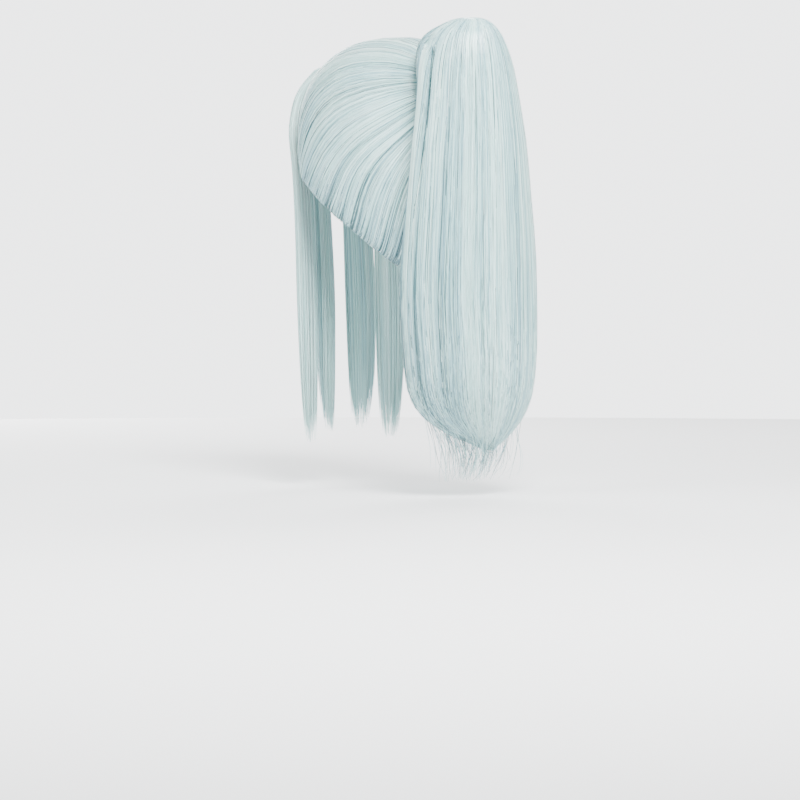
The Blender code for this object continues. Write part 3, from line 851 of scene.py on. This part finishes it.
def fall_paths(low, high, count, wisps=False):
    """Hanging strands between two angles, gathered in locks that sway as they fall."""
    outline = WISP_OUTLINE if wisps else MAIN_OUTLINE
    last = len(outline) - 1
    lock_count = int((high - low) / FALL_LOCK)
    lock_middle = low + (np.arange(lock_count) + 0.5 + RNG.uniform(-0.9, 0.9, lock_count)) * FALL_LOCK
    lock_depth = RNG.uniform(0, 0.016, lock_count) + np.where(RNG.random(lock_count) < 0.1, 0.018, 0)
    lock_tone = RNG.uniform(-0.26, 0.26, lock_count)
    lock_sway = RNG.normal(0, 1.0, (lock_count, 3))
    lock_end = RNG.uniform(-0.7, 0.0, lock_count)
    lock = RNG.integers(0, lock_count, count)
    spread = np.clip(RNG.normal(0, 0.7, count), -1.6, 1.6) * FALL_LOCK
    under = RNG.random(count) < 0.3
    travel = np.linspace(0, 1, FALL_POINTS)
    end = last + lock_end[lock] - np.abs(RNG.normal(0, 0.6, count))
    end = end - np.where(under, RNG.uniform(0, 1.6, count), 0)
    loose = RNG.random(count) < 0.4
    middle = np.where(loose, RNG.uniform(low, high, count), lock_middle[lock] + spread)
    hidden = np.abs((middle - FRONT + 180) % 360 - 180) < FRONT_GAP
    begin = np.where(hidden, GAP_FOOT, 0.03 + 0.8 * RNG.uniform(0, 1, count) ** 2)
    if wisps:
        begin = np.full(count, WISP_START)
        end = last - np.abs(RNG.normal(0, 1.1, count))
    place = begin[:, None] + (end - begin)[:, None] * travel[None, :]
    down = np.clip(place / last, 0, 1)
    sway = (
        lock_sway[lock, :1] * 1.2 * np.sin(math.pi * 1.5 * down)
        + lock_sway[lock, 1:2] * 2.6 * down**2
        + lock_sway[lock, 2:] * 1.0 * np.sin(math.pi * 3.4 * down + lock_sway[lock, :1])
    )
    wander = np.where(RNG.random(count) < 0.07, RNG.normal(0, 9, count), RNG.normal(0, 0.8, count))
    stray = wander[:, None] * down**2
    if wisps:
        stray = stray + RNG.normal(0, 34, (count, 1)) * down**5
    degrees = middle[:, None] + sway + stray
    depth = np.where(loose, RNG.uniform(0, 0.02, count), lock_depth[lock])
    deeper = np.where(under, RNG.uniform(0.02, 0.10, count), 0)
    share = 1.0 - depth - deeper - 0.012 * (spread / FALL_LOCK * 2) ** 2 + RNG.normal(0, 0.006, count)
    share = np.repeat(share[:, None], FALL_POINTS, axis=1)
    if wisps:
        share = share * RNG.uniform(0.35, 1.0, (count, 1))
        curl = RNG.normal(0, 0.16, (count, 1))
        curl = curl * np.sin(math.pi * travel * RNG.uniform(0.8, 2.2, (count, 1)))
        share = share + curl * np.clip((place - WISP_FREE) / 4, 0, 1)
    emerge = np.clip(place - begin[:, None], 0, 1)
    share = np.where(hidden[:, None], share * (0.72 + 0.28 * emerge), share)
    height = spline(outline, place)[..., 0]
    share = share - crease_depth(degrees, height)
    broad = 0.13 * np.sin(np.radians(middle) * 5 + 1.0) + 0.12 * np.sin(np.radians(middle) * 11 + 2.4)
    # Strands lying under others are painted darker: painted shade.
    tone = 0.64 + broad + lock_tone[lock] + RNG.normal(0, 0.26, count) - np.where(under, 0.16, 0)
    # Painted shade on the lower sides of the ponytail, and painted shade in the two creases beside the front
    # curtain.
    sideways = np.abs(90 - np.abs((degrees - 90 + 180) % 360 - 180) - 5)
    painted_shade = np.interp(height, (-250, -60), (1, 0)) * np.exp(-((sideways / 42) ** 2))
    tone = tone[:, None] - 0.30 * painted_shade - 2.2 * crease_depth(degrees, height)
    found = outline_point(outline, place, degrees, share)
    if wisps:
        free = np.clip((place - WISP_FREE) / 4, 0, 1) ** 1.5
        aside = RNG.normal(-4 * MM, 11 * MM, (count, 1))
        found[..., 0] += aside * np.sin(free * math.pi * RNG.uniform(0.5, 1.1, (count, 1)))
    return found, np.clip(tone, 0, 1)


def veil_paths():
    """Strands over the front of the crown, from its top to where they tuck in above the clip."""
    each = (VEIL_COUNT, 1)
    travel = np.linspace(0, 1, FALL_POINTS)[None, :]
    degrees = FRONT + RNG.uniform(-FRONT_GAP - 3, FRONT_GAP + 3, each)
    drift = (degrees - FRONT) * 0.25 * travel
    place = 0.03 + 0.6 * RNG.uniform(0, 1, each) ** 2 + RNG.uniform(2.3, 3.1, each) * travel
    share = 1.0 - RNG.uniform(0, 0.02, each) - 0.05 * (1 - travel) - 0.05 * travel**4
    tone = np.clip(RNG.normal(0.5, 0.2, VEIL_COUNT), 0, 1)
    return outline_point(MAIN_OUTLINE, place, degrees + drift, share), tone


def hang(obj, *nodes):
    """The object's placing is baked into its mesh, and it stands for these nodes of the model."""
    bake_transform(obj)
    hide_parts(*nodes)
    return obj


def ponytail():
    for name, low, high, count, nodes in (
        ("ponytail_front_left", -90, 10, 2300, ("ponytail_inner_fall",)),
        ("ponytail_front_right", 170, 270, 2300, ("ponytail_inner_fall",)),
        ("ponytail_back_left", 10, 90, 2400, ("ponytail_crown", "ponytail_outer_fall")),
        ("ponytail_back_right", 90, 170, 2400, ("ponytail_crown", "ponytail_outer_fall")),
    ):
        paths, tone = fall_paths(low, high, count)
        radius = strand_radius(count, FALL_POINTS, FALL_RADIUS, start=0.8, tip=0.22)
        hang(tubes(name, paths, radius, FIBRE, tone), *nodes)
    paths, tone = fall_paths(-90, 270, WISP_COUNT, wisps=True)
    radius = strand_radius(WISP_COUNT, FALL_POINTS, WISP_RADIUS, start=0.6, tip=0.3)
    hang(tubes("ponytail_wisps", paths, radius, FIBRE, tone - 0.15), "ponytail_outer_fall")
    paths, tone = veil_paths()
    radius = strand_radius(VEIL_COUNT, FALL_POINTS, FALL_RADIUS, start=0.8, tip=0.3)
    hang(tubes("ponytail_crown_front", paths, radius, FIBRE, tone), "ponytail_crown")
    packed_ponytail()


def packed_ponytail():
    """The fibre under the strands: a crown that is open in front of the clip, and a tube below."""
    crown_place = np.linspace(0.12, CROWN_FOOT, 50)[None, :]
    crown_degrees = np.linspace(FRONT + FRONT_GAP + 2, FRONT + 360 - FRONT_GAP - 2, 110)[:, None]
    fall_place = np.linspace(FALL_TOP, FALL_FOOT, 56)[None, :]
    fall_degrees = np.linspace(-90, 270, 145)[:-1, None]
    falls = ("ponytail_inner_fall", "ponytail_outer_fall")
    for name, degrees, place, ring, nodes in (
        ("ponytail_crown_packed", crown_degrees, crown_place, False, ("ponytail_crown",)),
        ("ponytail_fall_packed", fall_degrees, fall_place, True, falls),
    ):
        degrees, place = np.broadcast_arrays(degrees, place)
        sunk = crease_depth(degrees, spline(MAIN_OUTLINE, place)[..., 0])
        taper = np.interp(place, (12, FALL_FOOT), (0, 0.18))
        if ring:
            sunk = sunk + np.interp(place, (FALL_TOP, CROWN_FOOT), (0.3, 0))
        outer = outline_point(MAIN_OUTLINE, place, degrees, SHELL_OUTER - sunk - taper)
        inner = outline_point(MAIN_OUTLINE, place, degrees, SHELL_INNER - sunk - 1.6 * taper)
        hang(grid_shell(name, outer, inner, CORE, ring, (1.6, 1)), *nodes)


# ---------------------------------------------------------------- the forelocks

# Their middle lines on the left side, as (x, y, z, radius) in mm, from where they lie on the swept hair.
FORELOCK_OUTER = (
    (16, -70, 80, 3),
    (22, -88, 86, 5.5),
    (29, -100, 74, 7),
    (34, -106, 61, 8),
    (40, -106, 44, 8.5),
    (47, -100, 18, 9),
    (50, -88, -22, 9.5),
    (52, -79, -80, 10),
    (52, -75, -150, 10.5),
    (51, -73, -220, 9.5),
    (50, -72, -270, 7.5),
    (49, -71, -306, 4.5),
)
FORELOCK_INNER = (
    (5, -72, 80, 3),
    (8, -93, 83, 4),
    (11, -104, 73, 5),
    (14, -110, 62, 6.5),
    (18, -110, 44, 8),
    (21, -104, 18, 9),
    (22, -97, -22, 9.5),
    (22, -91, -80, 10),
    (22, -86, -150, 10.5),
    (22, -84, -220, 9.5),
    (21, -83, -262, 7.5),
    (20, -82, -294, 4.5),
)


FORELOCK_COUNT, FORELOCK_POINTS, FORELOCK_RADIUS = 950, 26, 0.42 * MM
# How far a forelock spreads across and from front to back, as shares of its radius.
ACROSS_SHARE, DEEP_SHARE, FORELOCK_CORE = 1.4, 0.72, 0.62
# The sine and cosine of how far a forelock's broad side is turned outward.
FORELOCK_TURN = (0.5, 0.866)


def forelock(node, stations, sign, darker):
    """One hanging lock: strands round its middle line, wider across than deep, over a packed core."""
    count = FORELOCK_COUNT
    stations = np.array(stations, float)
    stations[:, 0] *= sign
    last = len(stations) - 1
    travel = np.linspace(0, 1, FORELOCK_POINTS)
    lock_count = 16
    lock_angle = RNG.uniform(0, 2 * math.pi, lock_count)
    lock_reach = np.sqrt(RNG.uniform(0.2, 1, lock_count))
    lock_tone = RNG.uniform(-0.15, 0.15, lock_count)
    lock_end = RNG.uniform(-1.0, 0.0, lock_count)
    lock = RNG.integers(0, lock_count, count)
    angle = lock_angle[lock] + RNG.normal(0, 0.5, count)
    reach = np.clip(lock_reach[lock] + RNG.normal(0, 0.16, count), 0.05, 1.06)
    end = last - np.abs(RNG.normal(0, 0.9, count)) + lock_end[lock]
    begin = 0.35 * RNG.uniform(0, 1, count)
    place = begin[:, None] * (1 - travel) + end[:, None] * travel[None, :] * 0.985
    found = spline(stations, place)
    turn = angle + 0.25 * np.sin(lock[:, None] + 2.2 * travel).mean(axis=1)
    twist = turn[:, None] + 0.35 * travel
    wide = found[..., 3] * reach[:, None] * ACROSS_SHARE
    flat = found[..., 3] * reach[:, None] * DEEP_SHARE
    sine, cosine = FORELOCK_TURN
    outward = np.array((sine * sign, -cosine, 0))
    across = np.array((cosine * sign, sine, 0))
    aside = wide * np.cos(twist)
    droop = (aside**2 / 13 + RNG.uniform(0, 1.8, (count, 1))) * np.interp(place, (0, 3.5), (1, 0))
    paths = (
        found[..., :3]
        + aside[..., None] * across
        + (flat * np.sin(twist))[..., None] * outward
        - droop[..., None] * np.array((0, 0, 1.0))
    ) * MM
    # The darker amount is painted shade over the whole lock.
    tone = np.clip(0.78 - darker + lock_tone[lock] + RNG.normal(0, 0.16, count), 0, 1)
    radius = strand_radius(count, FORELOCK_POINTS, FORELOCK_RADIUS, start=0.7, tip=0.2)
    strands = tubes(f"{node}_strands", paths, radius, FIBRE, tone)
    middle = spline(stations, np.linspace(1.5, last - 2.4, 40))[None]
    core = middle[..., 3] * FORELOCK_CORE * MM
    packed = tubes(f"{node}_packed", middle[..., :3] * MM, core, CORE, sides=14)
    for obj in (strands, packed):
        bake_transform(obj)
        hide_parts(node)


def forelocks():
    for side, sign in (("left", 1), ("right", -1)):
        forelock(f"forelock_outer_{side}", FORELOCK_OUTER, sign, 0.0)
        # The inner lock is painted darker than the outer one: painted shade.
        forelock(f"forelock_inner_{side}", FORELOCK_INNER, sign, 0.14)


# ---------------------------------------------------------------- the studio

# The softbox behind the wig, as the camera sees it, and its strength beside and in front of the wig.
BACKDROP_DIRECTION = (-0.574, -0.819, 0.0)
BACKDROP_DIM, BACKDROP_BRIGHT = 0.4, 3.8
FLOOR_RADIUS = 3.2
FLOOR_HEIGHT = -0.345
# How far the floor's middle lies toward the camera, as a share of its radius.
FLOOR_SHIFT = 0.6
CAMERA_AZIMUTH, CAMERA_ELEVATION, CAMERA_DISTANCE = math.radians(145), math.radians(3), 3.5
# The width of the view at the wig, in metres, and the width of the camera's sensor, in mm.
VIEW_WIDTH, SENSOR = 0.815, 36
LAMP_TARGET = Vector((0, 0.05, -0.05))


def studio():
    softbox()
    paper_floor()
    right = Vector((math.cos(CAMERA_AZIMUTH), math.sin(CAMERA_AZIMUTH), 0))
    level = math.cos(CAMERA_ELEVATION)
    back = Vector(
        (
            math.sin(CAMERA_AZIMUTH) * level,
            -math.cos(CAMERA_AZIMUTH) * level,
            math.sin(CAMERA_ELEVATION),
        )
    )
    photo_camera(right, back)
    lamps(right, back)


def softbox():
    """White light from all round, far brighter from behind the wig as the camera sees it."""
    world = bpy.data.worlds.new("soft_white")
    bpy.context.scene.world = world
    world.use_nodes = True
    tree = world.node_tree
    way = tree.nodes.new("ShaderNodeTexCoord")
    facing = tree.nodes.new("ShaderNodeVectorMath")
    facing.operation = "DOT_PRODUCT"
    facing.inputs[1].default_value = BACKDROP_DIRECTION
    tree.links.new(way.outputs["Generated"], facing.inputs[0])
    spread = tree.nodes.new("ShaderNodeMapRange")
    spread.interpolation_type = "SMOOTHSTEP"
    for socket, value in (
        ("From Min", 0.5),
        ("From Max", 0.93),
        ("To Min", BACKDROP_DIM),
        ("To Max", BACKDROP_BRIGHT),
    ):
        spread.inputs[socket].default_value = value
    tree.links.new(facing.outputs["Value"], spread.inputs["Value"])
    background = tree.nodes["Background"]
    background.inputs["Color"].default_value = (0.97, 0.985, 1.0, 1)
    tree.links.new(spread.outputs["Result"], background.inputs["Strength"])


def paper_floor():
    """A round sheet of white paper below the hair's tips."""
    x, y, _ = BACKDROP_DIRECTION
    rim = [
        (
            FLOOR_RADIUS * (math.cos(turn) - FLOOR_SHIFT * x),
            FLOOR_RADIUS * (math.sin(turn) - FLOOR_SHIFT * y),
            FLOOR_HEIGHT,
        )
        for turn in np.linspace(0, 2 * math.pi, 97)[:-1]
    ]
    floor_mesh = bpy.data.meshes.new("floor")
    floor_mesh.from_pydata(rim, [], [tuple(range(len(rim)))])
    floor = bpy.data.objects.new("floor", floor_mesh)
    bpy.context.scene.collection.objects.link(floor)
    paper = Nodes("paper", 0.9)
    grain = paper.add("ShaderNodeTexNoise", Scale=4.0, Detail=2.0)
    paper.join(paper.place((1, 1, 1)), grain.inputs["Vector"])
    colour = paper.ramp(grain.outputs["Fac"], ((0.3, (0.93, 0.94, 0.945)), (0.7, (0.94, 0.95, 0.955))))
    paper.to_shader(colour, "Base Color")
    floor_mesh.materials.append(paper.material)


def photo_camera(right, back):
    """The photograph's view: from behind and the left, a little above the level."""
    target = right * 0.010 + Vector((0, 0, -0.254))
    camera = bpy.data.objects.new("camera", bpy.data.cameras.new("camera"))
    camera.data.lens = SENSOR * CAMERA_DISTANCE / VIEW_WIDTH
    camera.data.sensor_width = SENSOR
    camera.location = target + back * CAMERA_DISTANCE
    camera.rotation_euler = (-back).to_track_quat("-Z", "Y").to_euler()
    bpy.context.scene.collection.objects.link(camera)
    bpy.context.scene.camera = camera


def lamps(right, back):
    """The studio's round lamps, placed by the camera's view: (name, place, size in metres, watts)."""
    for name, place, size, power in (
        ("key", back * 1.5 + right * 0.4 + Vector((0, 0, 1.2)), 0.8, 118),
        ("fill", back * 1.4 - right * 1.4 + Vector((0, 0, 0.7)), 1.2, 30),
        ("rim", -back * 1.2 + right * 0.6 + Vector((0, 0, 1.3)), 1.0, 30),
        ("front", -back * 1.5 - right * 0.8 + Vector((0, 0, 0.4)), 1.2, 40),
    ):
        light = bpy.data.lights.new(name, "AREA")
        light.shape = "DISK"
        light.size = size
        light.energy = power
        lamp = bpy.data.objects.new(name, light)
        lamp.location = place
        lamp.rotation_euler = (LAMP_TARGET - place).to_track_quat("-Z", "Y").to_euler()
        bpy.context.scene.collection.objects.link(lamp)


def main():
    cap()
    swept_hair()
    tail()
    clip()
    ponytail()
    forelocks()
    studio()


main()
